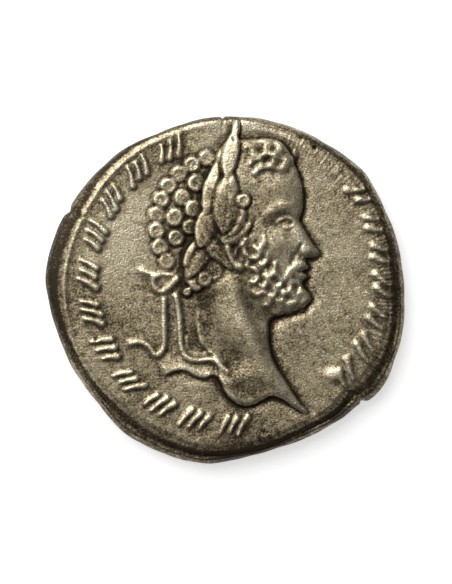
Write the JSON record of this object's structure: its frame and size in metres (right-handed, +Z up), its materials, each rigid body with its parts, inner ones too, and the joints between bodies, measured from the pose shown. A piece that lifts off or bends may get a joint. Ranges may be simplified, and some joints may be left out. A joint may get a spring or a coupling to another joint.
{
  "type": "struck silver coin",
  "caption": "Worn hand-struck silver coin lying flat, with a laurelled bust in profile above and a plain standing figure below.",
  "frame": {"origin": "under the middle of the coin's box, on the surface that it lies on", "axes": "+Z up, out of the obverse; +Y to the top of the bust; +X to the right, the way that the bust faces"},
  "size_m": [0.0176, 0.017, 0.0022],
  "materials": {
    "toned_silver": "struck silver, satin where worn, with dark brown toning in the hollows"
  },
  "bodies": {
    "root": {"coin": "toned_silver"}
  },
  "joints": []
}
